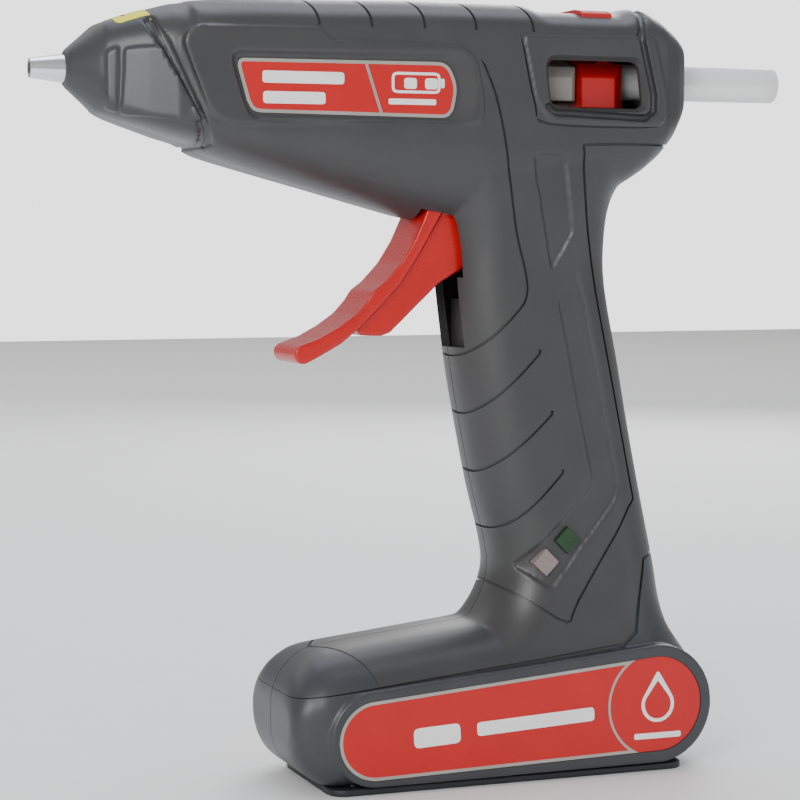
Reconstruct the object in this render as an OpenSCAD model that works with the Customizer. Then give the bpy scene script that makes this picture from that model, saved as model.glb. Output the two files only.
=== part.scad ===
// Cordless hot glue gun on a battery foot.
// Origin: centre of the base plate's rest face. Nozzle towards -X, left side towards -Y, +Z up.

/* [Body] */
// Height of the glue stick's axis above the base
axis_z = 215; // [200:1:260]
// Width of the barrel
body_w = 47; // [44:0.5:57]
// Width of the grip
grip_w = 37; // [35:0.5:45]
// Width of the foot
foot_w = 54; // [52:0.5:66]
// Wall of every plastic shell
wall = 2.5; // [2:0.1:3.1]
// Outer radius of a seam screw's boss
boss_r = 3.4; // [3:0.1:4.2]

/* [Window] */
// Length of the side window
window_len = 31.2; // [29:0.2:33]
// Height of the side window
window_h = 14.2; // [12:0.2:17]
// Corner radius of the side window
window_r = 3; // [1:0.5:5]

/* [Glue path] */
// Diameter of the glue stick
stick_d = 11.2; // [9.3:0.1:13.5]
// Length of the glue stick
stick_len = 158; // [120:1:180]
// Outer diameter of the nozzle at its tip
tip_d = 5.7; // [5:0.1:7]
// Diameter of the nozzle's outlet
outlet_d = 3.5; // [2:0.1:4]
// Diameter of the check ball
ball_d = 4.5; // [4:0.1:5]
// Wall of the melt chamber around the stick
chamber_wall = 3.4; // [2.8:0.1:4.2]
// Length of the melt chamber
chamber_len = 60; // [52:1:62]

/* [Feed] */
// Diameter of the trigger pin
pin_d = 5; // [4.2:0.1:6]
// Height of the stick's axis above the trigger pin
lever_arm = 28; // [26:0.5:30]
// Angle that the trigger turns through
pull_angle = 24; // [20:1:25]
// Diameter of the pins on the clamp sleeve
trunnion_d = 4; // [3.3:0.1:4.8]
// Wire diameter of the return spring
spring_wire = 0.9; // [0.7:0.1:1]
// Length of the feed carriage
carriage_len = 15.2; // [14:0.2:16]
// Width of the trigger's finger lever
trigger_w = 22; // [18:0.5:22.5]

/* [Power] */
// Diameter of a battery cell
cell_d = 18.4; // [17:0.1:20.5]
// Length of a battery cell
cell_len = 65; // [55:1:72]
// Length of the power button along the barrel
button_len = 10; // [8:0.5:12]
// Width of the power button
button_w = 35; // [24:1:37]
// Travel of the power button
button_travel = 0.9; // [0.5:0.1:0.9]
// Bore of the charging socket
socket_d = 6.2; // [4.8:0.1:6.4]

/* [Fits] */
// Running clearance of a pin in its bore, on the radius
run_gap = 0.05; // [0.02:0.01:0.1]
// Gap around a piece that slides or seats loosely
slide_gap = 0.3; // [0.2:0.05:0.4]
// Gap between the moving pieces and the housing
free_gap = 0.6; // [0.4:0.1:0.9]

/* [Hidden] */

$fn = 48;
hull_fn = 20;       // facets on the round corners of hulled sections
slice = 0.02;       // thickness of a section before it is hulled
far = 400;          // larger than the whole object

// Radii along the glue path, each from the one inside it
stick_r = stick_d / 2;
path_r = stick_r + slide_gap + 0.1;
sleeve_in = stick_r + slide_gap;
sleeve_out = sleeve_in + 0.7;
spring_mean = sleeve_in + 0.4 + spring_wire / 2;
chamber_r = path_r + chamber_wall;
ring_out = chamber_r + 4.2;
hump_r = sleeve_out + 2.2;

// Stations along the barrel
seam_x = -99.5;             // nose shroud meets the housings
nose_x = -132.6;            // front lip of the nose shroud
tip_x = -142;               // nozzle tip
rear_x = 61;                // rear face of the barrel
chamber_front = -112;
chamber_rear = chamber_front + chamber_len;
front_ring_x = -104;
rear_ring_x = chamber_rear - 8;
ring_t = 4;
inlet_len = 10;
inlet_rear = chamber_rear + inlet_len;
stick_tip = -58;
pocket_x = chamber_front + 16;
heater_h = 5;
heater_len = 32;
shank_r = 4.6;
ball_chamber_x = -133;
seat_x = -122;
seat_t = 3;
seat_hole = 1.4;
// The ball rests on the edge of the seat's hole
ball_x = seat_x - sqrt(pow(ball_d / 2, 2) - pow(seat_hole, 2)) - 0.01;
window_x = 11.7;
window_z = axis_z - 2.4;    // middle of the window's height

// Trigger: the fork swings equally to both sides of upright
pivot_x = -14;
pivot_z = axis_z - lever_arm;
half_pull = pull_angle / 2;
trunnion_x = pivot_x + lever_arm * tan(half_pull);
travel = 2 * lever_arm * tan(half_pull);
sleeve_front = trunnion_x - trunnion_d / 2 - 3;
hub_r = pin_d / 2 + 3;
fork_in = max(sleeve_out, spring_mean + spring_wire / 2) + 1.2;
fork_t = 3;
fork_out = fork_in + fork_t;
slot_half = trunnion_d / 2 + 0.2;
web_w = 18;

// Carriage
carriage_x = window_x + window_len - carriage_len - 1;
carriage_half = 13.5;
sleeve_block_half = 11.5;
web_pocket_x = -6.6;
carriage_low = 9;           // underside below the stick's axis
carriage_high = 5;          // wings' top above the stick's axis
sleeve_rear = carriage_x + 2.6;
clamp_t = 2.5;
clamp_x = carriage_x + carriage_len - 7.2;
clamp_w = 17;
clamp_tilt = 8;             // the plate tips until it bites the stick
clamp_pin_r = 0.8;
clamp_mid = clamp_x + clamp_t / 2;
clamp_pin_dz = hump_r + 0.1;
clamp_low = hump_r - 0.6;   // plate's lower edge below the stick's axis
ear_t = 2.6;

// Power button and deck
deck_z = axis_z + 20;
button_x = 29.8;
button_rise = 1.1;
button_cap_t = 2.2;
button_switch_w = 12;
button_top = deck_z + button_rise;

// Foot
floor_z = 2;                // underside of the foot shells
plate_t = 2.2;
plate_len = 117;
plate_w = 49;
plate_r = 5;
hatch_len = 102;
hatch_w = 34;
cell_gap = 0.6;
cell_z = plate_t + 1.6 + cell_d / 2;
cell_y = cell_d / 2 + cell_gap / 2;
cell_x = -36;
socket_z = 19;
socket_len = 9;
foot_rear = 66.5;
saddle_z = 40;              // grip sections above this follow the overall height

// Height of a grip section that was laid out on a 215 mm tall gun
function tall(z) = saddle_z + (z - saddle_z) * (axis_z - saddle_z) / (215 - saddle_z);
// Height of a trigger or barrel detail, kept in place below the stick's axis
function low(z) = axis_z - 215 + z;

// Where the nose shroud meets the housings
seam_section = [seam_x, low(194.5), low(234.8), body_w / 2 - 0.3, 15, 14];

// Barrel sections: x, bottom, top, half width, lower radius, upper radius
barrel = [
    seam_section,
    [-94, low(191), low(235.3), body_w / 2, 15, 14],
    [-60, low(181), low(236.3), body_w / 2, 17, 14],
    [-30, low(172.4), low(237), body_w / 2, 19, 14],
    [6, low(169), low(237), body_w / 2, 19, 14],
    [11, low(174), deck_z, body_w / 2, 17, 12],
    [38, low(180.5), deck_z, body_w / 2, 14, 12],
    [42, low(183), low(237.2), body_w / 2, 13, 14],
    [47, low(186.4), low(236.8), body_w / 2, 12, 14],
    [52, low(190.2), low(234.6), body_w / 2 - 0.6, 12, 13],
    [57, low(195.4), low(231), body_w / 2 - 2.6, 12, 12],
    [rear_x, low(204.5), low(226.6), body_w / 2 - 8, 9, 9]];

deck_sections = [barrel[5], barrel[6]];

// Grip sections: height, front, rear, half width, corner radius
grip = [
    [36, -19.5, 64.5, foot_w / 2 - 2, 18],
    [42, -12, 60.2, foot_w / 2 - 4, 18],
    [52, -3.4, 57.6, grip_w / 2 + 2.4, 18],
    [tall(62), 0.6, 56.2, grip_w / 2 + 0.8, 17],
    [tall(72), 0, 54, grip_w / 2 + 0.2, 16],
    [tall(90), -4.7, 50.3, grip_w / 2, 16],
    [tall(111), -8.9, 46, grip_w / 2, 16],
    [tall(127), -11.6, 43, grip_w / 2 + 0.2, 16],
    [tall(150), -14.4, 38.3, grip_w / 2 + 0.7, 16],
    [tall(164), -15, 37.2, grip_w / 2 + 1.5, 16],
    [tall(178), -18, 38.6, grip_w / 2 + 3, 16],
    [tall(190), -26, 50, body_w / 2 - 1, 16]];

// Foot sections: x, bottom, top, half width, lower radius, upper radius
foot = [
    [-70, 15.5, 27, foot_w / 2 - 7, 4, 5],
    [-69, 12, 31, foot_w / 2 - 4.6, 6, 8],
    [-66.4, 7.6, 35.6, foot_w / 2 - 2.4, 7, 12],
    [-62.4, 4, 39.6, foot_w / 2 - 0.8, 8, 16],
    [-57, floor_z, 42.2, foot_w / 2, 8, 19],
    [-20, floor_z, 46.6, foot_w / 2, 8, 20],
    [10, floor_z, 50, foot_w / 2, 8, 20],
    [52, floor_z, 45, foot_w / 2, 8, 16],
    [60, 3.4, 38, foot_w / 2, 9, 12],
    [64.5, 7, 31, foot_w / 2 - 1.5, 8, 9],
    [foot_rear, 11, 26, foot_w / 2 - 5, 6, 6]];

// Round ends of the raised pad on each side of the foot: x, z, radius
pad_ends = [[-45, 17.2, 14.6], [47.6, 21.4, 18.8]];
// Round ends of the label that lies on the pad
label_ends = [[-45, 16.6, 12], [47.6, 21.4, 14.8]];

// Seam screws on the middle plane: x, z
seam_screws = [[-84, low(229.4)], [-34, low(230.2)], [4, low(229.4)], [-62, low(188.6)],
    [26, tall(150)], [4, tall(106)], [36.5, tall(104)], [39.5, 56]];
seam_screw_r = 1.45;
seam_head_r = 2.8;
seam_head_t = 2;
seam_screw_len = 18;
// Screws up through the base plate: x, y
plate_screws = [for (x = [-50, 50], side = [-1, 1]) [x, side * 18.5]];
plate_screw_len = 12;

// Labels lie in recesses
label_depth = 0.9;
label_t = 0.6;

// Control board and leads, which are held inside all the way
board_x = 10;
board_z = tall(92);
lead_r = 1.1;
lead_y = 5;
// The heater's leads pass beside the trigger and through the rear ring's seat: x, z
heater_lead_y = trigger_w / 2 + 2.6;
heater_lead_path = [[20, board_z + 40], [17, tall(138)], [14, low(152)], [10, low(164)],
    [4, low(176)], [-8, low(178.6)], [-24, low(179.4)], [-40, low(184)], [-52, low(192)],
    [-62, axis_z - chamber_r - 4]];

// Places of the two status lights on the left side: x, z
green_at = [20.3, tall(73)];
red_at = [13, tall(66.4)];
light_side = 6;
light_y = grip_w / 2 + 0.2;

// ---- shared shapes ----

// Turns a child drawn up +Z so that it runs along +X on the stick's axis
module along_x(x) { translate([x, 0, axis_z]) rotate([0, 90, 0]) children(); }

// Turns a child centred on the origin's XY plane so that it lies across the body
module across(x, z, y = 0) { translate([x, y, z]) rotate([90, 0, 0]) children(); }

// Extrudes a side outline to a thickness, centred on y
module side_plate(t, y = 0) { across(0, 0, y) linear_extrude(t, center = true) children(); }

module tube_x(x, len, r_out, r_in) {
    along_x(x) difference() {
        cylinder(h = len, r = r_out);
        translate([0, 0, -1]) cylinder(h = len + 2, r = r_in);
    }
}

// One rounded section across the X axis, at s = [x, bottom, top, half width, low r, top r]
module x_section(s, grow, shift, floor_t) {
    bottom = s[1] - grow + floor_t;
    top = s[2] + grow;
    half = s[3] + grow;
    low_r = max(s[4] + grow, 1);
    top_r = max(s[5] + grow, 1);
    for (side = [-1, 1]) {
        translate([s[0] + shift, side * (half - low_r), bottom + low_r]) rotate([0, 90, 0])
            cylinder(h = slice, r = low_r, center = true, $fn = hull_fn);
        translate([s[0] + shift, side * (half - top_r), top - top_r]) rotate([0, 90, 0])
            cylinder(h = slice, r = top_r, center = true, $fn = hull_fn);
    }
}

// Skins a list of X sections; grow moves the surface outwards, negative inwards
module x_skin(list, grow = 0, floor_t = 0) {
    last = len(list) - 1;
    for (i = [0 : last - 1]) hull() {
        x_section(list[i], grow, i == 0 ? -grow : 0, floor_t);
        x_section(list[i + 1], grow, i + 1 == last ? grow : 0, floor_t);
    }
}

// One rounded section across the Z axis, at s = [height, front, rear, half width, r]
module z_section(s, grow) {
    r = max(s[4] + grow, 1);
    for (x = [s[1] - grow + r, s[2] + grow - r], y = [-1, 1] * (s[3] + grow - r))
        translate([x, y, s[0]]) cylinder(h = slice, r = r, center = true, $fn = hull_fn);
}

module z_skin(list, grow = 0) {
    for (i = [0 : len(list) - 2]) hull() {
        z_section(list[i], grow);
        z_section(list[i + 1], grow);
    }
}

// Sweeps rings of equal size into one closed solid with flat ends
module swept(rings) {
    n = len(rings[0]);
    last = len(rings) - 1;
    sides = [for (i = [0 : last - 1], j = [0 : n - 1])
        let (a = i * n + j, b = i * n + (j + 1) % n) each [[a, a + n, b + n], [a, b + n, b]]];
    caps = [[for (j = [0 : n - 1]) j], [for (j = [n - 1 : -1 : 0]) last * n + j]];
    polyhedron(points = [for (ring = rings) each ring], faces = concat(sides, caps));
}

// Coil along X on the stick's axis
module coil_x(x, len, mean, wire, turns) {
    steps = round(turns * 14);
    swept([for (i = [0 : steps]) let (t = i / steps, a = 360 * turns * t)
        [for (j = [0 : 5]) let (q = mean + wire / 2 * cos(60 * j))
            [x + len * t - wire / 2 * sin(60 * j), q * cos(a), axis_z + q * sin(a)]]]);
}

// Coil along Z at a place
module coil_z(at, len, mean, wire, turns) {
    steps = round(turns * 14);
    swept([for (i = [0 : steps]) let (t = i / steps, a = 360 * turns * t)
        [for (j = [0 : 5]) let (q = mean + wire / 2 * cos(60 * j))
            at + [q * cos(a), q * sin(a), len * t - wire / 2 * sin(60 * j)]]]);
}

// Round lead along points [x, z] in a plane at y
module lead(points, r, y) {
    last = len(points) - 1;
    swept([for (i = [0 : last])
        let (d = points[min(i + 1, last)] - points[max(i - 1, 0)], u = d / norm(d))
        [for (j = [0 : 7]) let (c = r * cos(45 * j), s = r * sin(45 * j))
            [points[i][0] - u[1] * c, y - s, points[i][1] + u[0] * c]]]);
}

// ---- housing ----

module outer_form(grow = 0) {
    x_skin(barrel, grow);
    z_skin(grip, grow);
    x_skin(foot, grow, grow < 0 ? 1.5 : 0);
}

// Outline with two round ends, grown by an edge
module stadium(ends, grow) {
    hull() for (end = ends) translate([end[0], end[1]]) circle(r = end[2] + grow, $fn = 40);
}

// Raised pad that carries the foot's label
module foot_pad(side) {
    depth = 7;
    side_plate(depth, side * (foot_w - depth) / 2) stadium(pad_ends, 0);
}

// What belongs to the housings; the foot shells take the rest
module housing_zone() {
    translate([-far, -far, 90]) cube([2 * far, 2 * far, far]);
    intersection() {
        side_plate(far) polygon([[-80, 29.6], [37.4, 40], [42, 43.6], [47.6, 66], [90, 72],
            [90, 91], [-80, 91]]);
        linear_extrude(100) polygon([[-58, 0], [-42.5, -foot_w / 2 - 1], [90, -foot_w / 2 - 1],
            [90, foot_w / 2 + 1], [-42.5, foot_w / 2 + 1]]);
    }
}

module half_space(side) {
    translate([-far, side > 0 ? 0 : -far, -far]) cube([2 * far, far, 2 * far]);
}

// Opening in the grip's front and the barrel's underside that the trigger swings through
module trigger_slot() {
    wide = trigger_w / 2 + free_gap;
    narrow = web_w / 2 + free_gap;
    // Room for the lever's root, for the web, and a pocket for the web's low corner
    translate([-25.5, -wide, low(154)]) cube([16.5, 2 * wide, 23]);
    translate([-25.5, -narrow, low(146)]) cube([23.5, 2 * narrow, 31]);
    translate([-24, -narrow, low(132.5)]) cube([24 + web_pocket_x, 2 * narrow, 14.5]);
}

// Floor of the pocket, behind the web's low corner
module pocket_floor() {
    half = web_w / 2 + free_gap + 2;
    translate([web_pocket_x, -half, low(131)]) cube([2.4, 2 * half, 16]);
}

module window_cut() {
    side_plate(far) translate([window_x + window_len / 2, window_z]) offset(r = window_r)
        square([window_len - 2 * window_r, window_h - 2 * window_r], center = true);
}

module ring_seat(x, t) {
    difference() {
        intersection() {
            translate([x, -far / 2, 0]) cube([t, far, far]);
            x_skin(barrel, -wall + 0.2);
        }
        along_x(x - 1) cylinder(h = t + 2, r = ring_out + 0.05);
    }
}

// Ledges that the carriage slides along
module carriage_rails() {
    for (side = [-1, 1]) intersection() {
        translate([carriage_x - travel - 2, side > 0 ? 8 : -40, axis_z - carriage_low - slide_gap - 2.4])
            cube([carriage_len + travel + 4, 32, 2.4]);
        x_skin(barrel, -wall + 0.2);
    }
}

module pivot_boss(side) {
    gap = max(trigger_w / 2, fork_out) + slide_gap;
    intersection() {
        across(pivot_x, pivot_z, side * (gap + 15)) cylinder(h = 30, r = hub_r, center = true);
        x_skin(barrel, -wall + 0.2);
    }
}

module seam_boss(at) {
    intersection() {
        across(at[0], at[1]) cylinder(h = far, r = boss_r, center = true);
        outer_form(-wall + 0.2);
    }
}

module seam_screw_cut(at, gap) {
    across(at[0], at[1], seam_screw_y()) {
        cylinder(h = seam_screw_len + gap, r = seam_screw_r + gap, center = true);
    }
    across(at[0], at[1], seam_screw_y() + seam_screw_len / 2 + 20)
        cylinder(h = 40 + gap, r = seam_head_r + gap, center = true);
}
function seam_screw_y() = 4;

module housing_half(side) {
    difference() {
        intersection() {
            union() {
                difference() {
                    outer_form();
                    outer_form(-wall);
                }
                ring_seat(rear_ring_x, ring_t / 2);
                carriage_rails();
                pivot_boss(side);
                pocket_floor();
                for (at = seam_screws) seam_boss(at);
            }
            half_space(side);
            housing_zone();
        }
        // The barrel's front is open, behind the nose shroud
        along_x(seam_x - 1) cylinder(h = wall + 2, r = body_w / 2 - 6);
        trigger_slot();
        window_cut();
        across(pivot_x, pivot_z) cylinder(h = 2 * pin_half() + 0.4, r = pin_d / 2 + 0.1, center = true);
        along_x(rear_x - 2 * wall - 1) cylinder(h = 20, r = guide_r() + 0.05);
        translate([button_x - button_len / 2 - slide_gap, -button_w / 2 - slide_gap, deck_z - 8])
            cube([button_len + 2 * slide_gap, button_w + 2 * slide_gap, 20]);
        for (at = seam_screws) seam_screw_cut(at, 0.1);
        for (at = [green_at, red_at]) light_cut(at);
        lead(heater_lead_path, lead_r + slide_gap, side * heater_lead_y);
        barrel_label_cut();
    }
}
function pin_half() = max(trigger_w / 2, fork_out) + 6;
function guide_r() = path_r + 2.6;

module left_housing() { color("#4b4d50") housing_half(-1); }
module right_housing() { color("#4b4d50") housing_half(1); }

// ---- nose ----

module nose_form(grow) {
    cone_x = -122.9;
    cone_r = 13;
    hull() {
        along_x(nose_x) cylinder(h = slice, r = 4.9 + grow, $fn = 40);
        along_x(nose_x + 1.6) cylinder(h = slice, r = 6.3 + grow, $fn = 40);
        along_x(cone_x) cylinder(h = slice, r = cone_r + grow, $fn = 40);
    }
    hull() {
        along_x(cone_x) cylinder(h = slice, r = cone_r + grow, $fn = 40);
        x_section(seam_section - [slice, 0, 0, 0, 0, 0], grow, 0, 0);
    }
}

module nose_shroud() {
    color("#3f4245") difference() {
        union() {
            difference() {
                nose_form(0);
                translate([0.02, 0, 0]) nose_form(-wall);
            }
            // Seat for the chamber's front ring
            tube_x(front_ring_x, ring_t / 2, ring_out + 4.5, ring_out + 0.05);
        }
        along_x(seam_x - 3) cylinder(h = 4, r = body_w / 2 - 6);
        along_x(nose_x - 1) cylinder(h = 12, r = nozzle_r_at_lip() + 0.3);
    }
}
function nozzle_r_at_lip() = tip_d / 2 + 1.3;

// Thin curved patch on the crest of the nose
module nose_label() {
    color("#e5e52a") intersection() {
        difference() {
            nose_form(0.35);
            nose_form(0.02);
        }
        translate([-119, -5.5, axis_z + 8]) cube([13, 11, 30]);
    }
}

// ---- labels ----

// Slanted barrel label outline, grown by an edge
module barrel_label_outline(grow) {
    offset(delta = grow) polygon([[-86, low(217.4)], [-81.6, low(202.8)], [-21, low(202.2)],
        [-18.6, low(211)], [-21.6, low(217.6)]]);
}

module barrel_label_cut() {
    for (side = [-1, 1]) side_plate(2 * label_depth, side * body_w / 2) barrel_label_outline(0.8);
}

module barrel_label(side) {
    color("#d6332d") side_plate(label_t, side * (body_w / 2 - label_depth + label_t / 2))
        barrel_label_outline(0);
}
module left_barrel_label() { barrel_label(-1); }
module right_barrel_label() { barrel_label(1); }

module foot_label(side) {
    color("#d6332d") side_plate(label_t, side * (foot_w / 2 - label_depth + label_t / 2))
        stadium(label_ends, 0);
}
module foot_label_cut() {
    for (side = [-1, 1]) side_plate(2 * label_depth, side * foot_w / 2) stadium(label_ends, 0.6);
}
module left_foot_label() { foot_label(-1); }
module right_foot_label() { foot_label(1); }

// ---- foot ----

module foot_half(side) {
    difference() {
        intersection() {
            union() {
                difference() {
                    union() {
                        outer_form();
                        foot_pad(side);
                    }
                    outer_form(-wall);
                }
                for (at = plate_screws) intersection() {
                    translate([at[0], at[1], 0]) cylinder(h = 17, r = boss_r);
                    outer_form(-0.2);
                }
            }
            half_space(side);
            difference() {
                translate([-far, -far, 0]) cube([2 * far, 2 * far, 90]);
                housing_zone();
            }
        }
        plate_recess();
        for (at = plate_screws) translate([at[0], at[1], -1])
            cylinder(h = plate_screw_len + 2, r = seam_screw_r + 0.1);
        translate([foot_rear - 8, 0, socket_z]) rotate([0, 90, 0])
            cylinder(h = 30, r = socket_r() + 0.1);
        foot_label_cut();
    }
}
function socket_r() = socket_d / 2 + 1.8;

module rounded_plate(len, w, r, t) {
    linear_extrude(t) offset(r = r) square([len - 2 * r, w - 2 * r], center = true);
}

module plate_recess() {
    translate([0, 0, -1]) rounded_plate(plate_len + 0.4, plate_w + 0.4, plate_r + 0.2, 1 + plate_t);
    difference() {
        translate([0, 0, -1]) rounded_plate(hatch_len, hatch_w, 4, 8);
        for (at = plate_screws) translate([at[0], at[1], 0]) cylinder(h = 17, r = boss_r);
    }
}

module left_foot_shell() { color("#44484d") foot_half(-1); }
module right_foot_shell() { color("#44484d") foot_half(1); }

module base_plate() {
    color("#3a3d41") difference() {
        rounded_plate(plate_len, plate_w, plate_r, plate_t);
        for (at = plate_screws) translate([at[0], at[1], -1]) {
            cylinder(h = plate_t + 2, r = seam_screw_r + 0.25);
            cylinder(h = 2, r = seam_head_r + 0.2);
        }
    }
}

// ---- status lights ----

module light_cut(at) {
    across(at[0], at[1], -light_y) rotate(45)
        cube([light_side + 0.1, light_side + 0.1, 14], center = true);
}

module lens(at) {
    across(at[0], at[1], -light_y + 1.4) rotate(45)
        cube([light_side, light_side, 3.6], center = true);
}
module green_lens() { color("#1f9a3c", 0.7) lens(green_at); }
module red_lens() { color("#c99a9a", 0.7) lens(red_at); }

module status_board() {
    middle = (green_at + red_at) / 2;
    behind = -light_y + wall + 3.7;
    color("#2c6b3a") across(middle[0], middle[1], behind)
        cube([16, 16, 1.2], center = true);
    color("#e8e8e0") for (at = [green_at, red_at]) across(at[0], at[1], behind - 1.8)
        cube([3, 2, 2.4], center = true);
}

// ---- rear deck and stick entry ----

// Flanged ring that guides the stick through the rear wall
module stick_guide() {
    color("#3a3a3a") difference() {
        union() {
            along_x(rear_x - 2 * wall) cylinder(h = 2 * wall, r = guide_r());
            along_x(rear_x - 2 * wall - 1.2) cylinder(h = 1.2, r = guide_r() + 1.4);
        }
        along_x(rear_x - 20) cylinder(h = 40, r = path_r);
    }
}

// Wide cap that follows the deck's crown, with a skirt at each end and a short stem
module power_button() {
    skirt = 2;
    color("#d6332d") union() {
        difference() {
            intersection() {
                translate([button_x - button_len / 2, -button_w / 2, button_top - button_cap_t - skirt])
                    cube([button_len, button_w, far]);
                hull() for (section = deck_sections) x_section(section, button_rise, 0, 0);
            }
            translate([button_x - button_len, -button_switch_w / 2 - 2, button_top - far - button_cap_t])
                cube([2 * button_len, button_switch_w + 4, far]);
        }
        translate([button_x, 0, button_top - button_cap_t - 1.6]) cylinder(h = 2, r = 1.5);
    }
}

module button_switch() {
    top = button_top - button_cap_t - 1.6 - button_travel - 0.15;
    color("#2b2b2b") translate([button_x - 4.5, -button_switch_w / 2, top - 1.8])
        cube([9, button_switch_w, 1.8]);
}

module button_spring() {
    top = button_top - button_cap_t;
    low_end = top - 1.6 - button_travel - 0.15;
    wire = 0.4;
    color("#b9bcc0") coil_z([button_x, 0, low_end + wire / 2 + 0.02], top - low_end - wire - 0.04,
        2.4, wire, 3);
}

// ---- trigger ----

function arc(cx, cz, r, from, to, n) =
    [for (i = [0 : n]) let (a = from + (to - from) * i / n) [cx + r * cos(a), cz + r * sin(a)]];

// Curved finger lever, seen from the side: a dip for each of two fingers, and a round tip
module lever_outline() {
    polygon(concat(
        [[-17.5, low(175)], [-23, low(175)], [-24.4, low(171.4)], [-27.4, low(165)], [-31.6, low(158.4)],
            [-36.8, low(152.8)], [-40.6, low(150)], [-42.4, low(147.2)], [-46, low(143.2)],
            [-51.4, low(139.4)], [-57.6, low(136.1)]],
        arc(-62.6, low(131.3), 2.9, 115, 285, 8),
        [[-57.6, low(130.6)], [-51, low(134.2)], [-45, low(138.8)], [-38.4, low(145.2)],
            [-31.4, low(152.6)], [-26, low(160.6)], [-21.6, low(168)]]));
}

// Narrower web behind the lever
module web_outline() {
    polygon([[-18, low(175)], [-26, low(168)], [-34, low(154)], [-46.6, low(140)], [-44, low(136.7)],
        [-37.4, low(136.4)], [-34.4, low(137.4)], [-18.4, low(152.4)], [-12, low(156)],
        [-7, low(160)], [-7, low(172)], [-12, low(176)]]);
}

module trigger() {
    lean = atan2(trunnion_x - pivot_x, lever_arm);
    fork_len = lever_arm / cos(half_pull) + trunnion_d / 2 + 2.5;
    slot_from = lever_arm - trunnion_d / 2 - 0.4;
    color("#d6332d") difference() {
        union() {
            across(pivot_x, pivot_z) cylinder(h = trigger_w, r = hub_r, center = true);
            side_plate(trigger_w) lever_outline();
            side_plate(web_w) web_outline();
            side_plate(trigger_w) polygon([[-23, low(174)], [-15.5, low(174)],
                [pivot_x + hub_r * 0.8, pivot_z - hub_r * 0.6], [pivot_x - hub_r, pivot_z]]);
            for (side = [-1, 1]) across(pivot_x, pivot_z, side * (fork_in + fork_t / 2))
                rotate(90 - lean) translate([0, -5, -fork_t / 2]) cube([fork_len, 10, fork_t]);
        }
        across(pivot_x, pivot_z) cylinder(h = far, r = pin_d / 2 + run_gap, center = true);
        for (side = [-1, 1]) across(pivot_x, pivot_z, side * (fork_in + fork_t / 2))
            rotate(90 - lean) translate([slot_from, -slot_half, -fork_t])
                cube([fork_len, 2 * slot_half, 2 * fork_t]);
    }
}

module trigger_pin() {
    color("#c3c6c9") across(pivot_x, pivot_z) cylinder(h = 2 * pin_half(), r = pin_d / 2, center = true);
}

// ---- feed ----

module feed_carriage() {
    ear_in = clamp_w / 2 + slide_gap;
    tip_room = (clamp_pin_dz + clamp_low) * sin(clamp_tilt) + 0.6;
    color("#d6332d") difference() {
        union() {
            translate([carriage_x, -carriage_half, axis_z - carriage_low])
                cube([carriage_len, 2 * carriage_half, carriage_low + carriage_high]);
            along_x(carriage_x) cylinder(h = carriage_len, r = hump_r);
            // Ears that hold the clamp pin
            for (side = [-1, 1]) hull() {
                across(clamp_mid, axis_z + clamp_pin_dz, side * (ear_in + ear_t / 2))
                    cylinder(h = ear_t, r = clamp_pin_r + 1.3, center = true);
                translate([clamp_mid - 2.5, side * (ear_in + ear_t / 2) - ear_t / 2, axis_z])
                    cube([5, ear_t, 1]);
            }
        }
        along_x(carriage_x - 1) cylinder(h = carriage_len + 2, r = path_r);
        along_x(carriage_x - 1) cylinder(h = sleeve_rear - carriage_x + 1, r = sleeve_out + 0.02);
        // Slot for the clamp plate, open at the top
        translate([clamp_x - 0.5, -ear_in, axis_z - clamp_low - 0.5])
            cube([clamp_t + 0.5 + tip_room, 2 * ear_in, far]);
        across(clamp_mid, axis_z + clamp_pin_dz) cylinder(h = far, r = clamp_pin_r + 0.02, center = true);
    }
}

module clamp_sleeve() {
    color("#5a5d60") difference() {
        union() {
            along_x(sleeve_front) cylinder(h = sleeve_rear - sleeve_front, r = sleeve_out);
            // Block that shows in the window, in front of the carriage
            translate([window_x - 8, -sleeve_block_half, axis_z - 7])
                cube([carriage_x - 0.8 - window_x + 8, 2 * sleeve_block_half, 10.8]);
            across(trunnion_x, axis_z) cylinder(h = 2 * fork_out, r = trunnion_d / 2, center = true);
        }
        along_x(sleeve_front - 1) cylinder(h = sleeve_rear - sleeve_front + 2, r = sleeve_in);
    }
}

// Plate that tips on its pin and bites the stick
module stick_clamp() {
    color("#c3c6c9") difference() {
        translate([clamp_x, -clamp_w / 2, axis_z - clamp_low])
            cube([clamp_t, clamp_w, clamp_low + clamp_pin_dz + 2.2]);
        along_x(clamp_x - 1) cylinder(h = clamp_t + 2, r = path_r + 0.25);
        across(clamp_mid, axis_z + clamp_pin_dz)
            cylinder(h = far, r = clamp_pin_r + run_gap, center = true);
    }
}

module clamp_pin() {
    color("#c3c6c9") across(clamp_mid, axis_z + clamp_pin_dz)
        cylinder(h = clamp_w + 2 * (slide_gap + ear_t), r = clamp_pin_r, center = true);
}

module return_spring() {
    rest = sleeve_front - inlet_rear - spring_wire - 0.1;
    color("#b9bcc0") coil_x(inlet_rear + spring_wire / 2 + 0.05, rest, spring_mean, spring_wire, 7);
}

module glue_stick() {
    color("#eeeeea", 0.8) along_x(stick_tip) cylinder(h = stick_len, r = stick_r);
}

// ---- melting and outlet ----

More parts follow.
